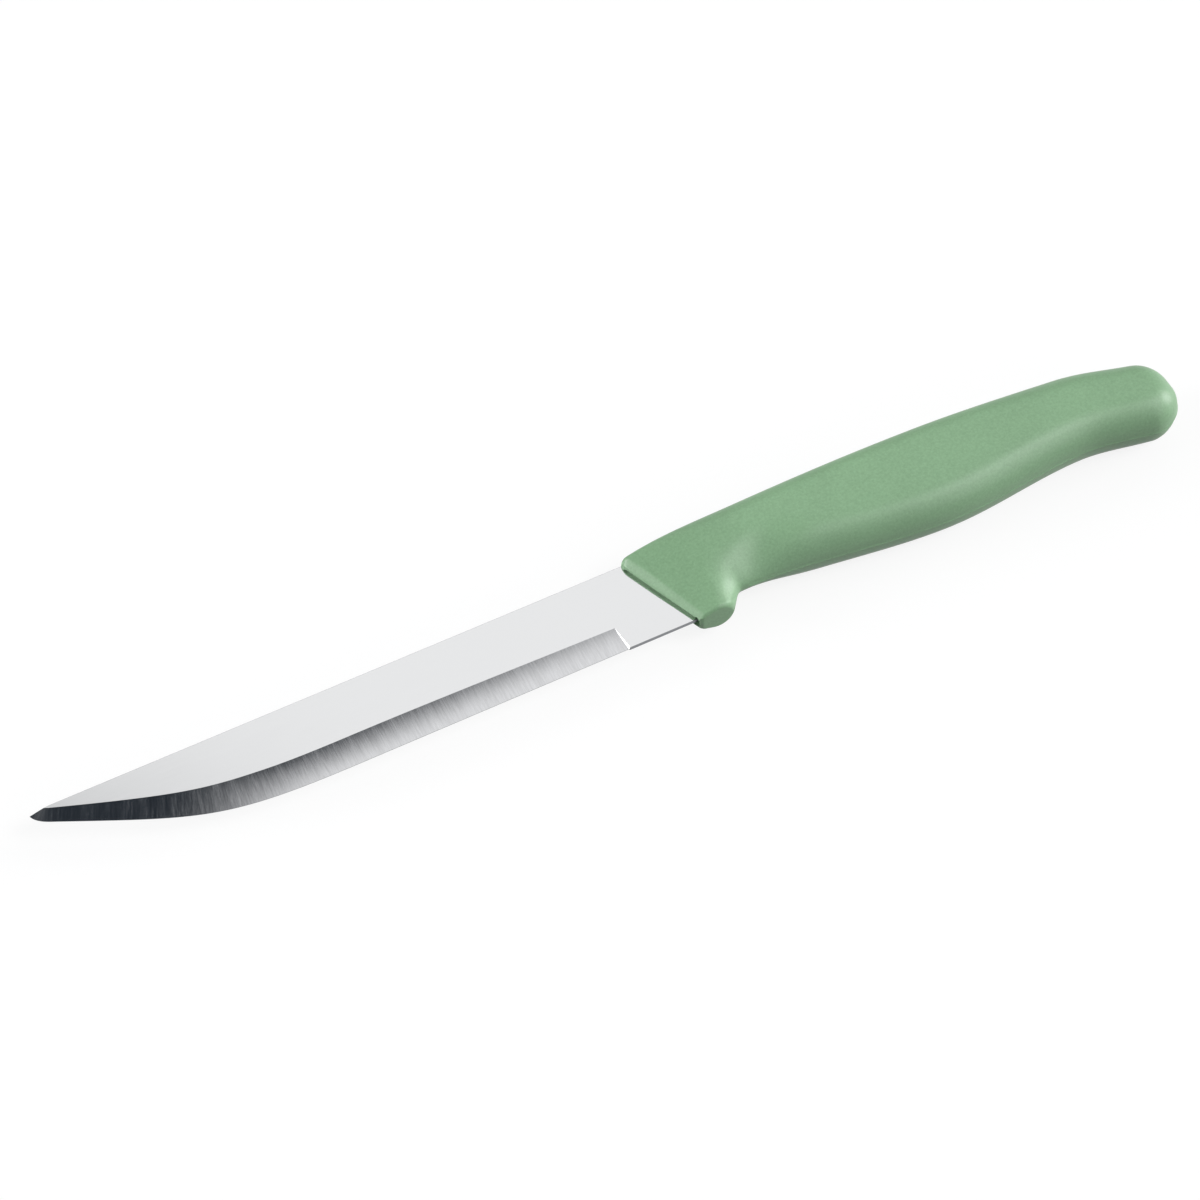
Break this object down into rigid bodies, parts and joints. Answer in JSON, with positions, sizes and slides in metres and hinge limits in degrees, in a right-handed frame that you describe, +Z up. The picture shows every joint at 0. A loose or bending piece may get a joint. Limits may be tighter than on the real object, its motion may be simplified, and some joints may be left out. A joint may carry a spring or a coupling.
{
  "type": "paring knife",
  "caption": "Small kitchen knife with a straight spine, an upswept hollow-ground blade and a moulded plastic handle with a finger guard and a rounded, hooked butt.",
  "frame": {"origin": "middle of the footprint of the knife lying on its side, at the height of the surface it lies on", "axes": "+X from the tip to the butt, +Y from the cutting edge to the spine, +Z up, square to the flat of the blade"},
  "size_m": [0.2178, 0.019, 0.012],
  "materials": {
    "blade_steel": "satin flats, cross-ground hollow bevel",
    "handle_plastic": "fine moulded grain, satin"
  },
  "bodies": {
    "root": {"blade": "blade_steel", "handle": "handle_plastic"}
  },
  "joints": []
}
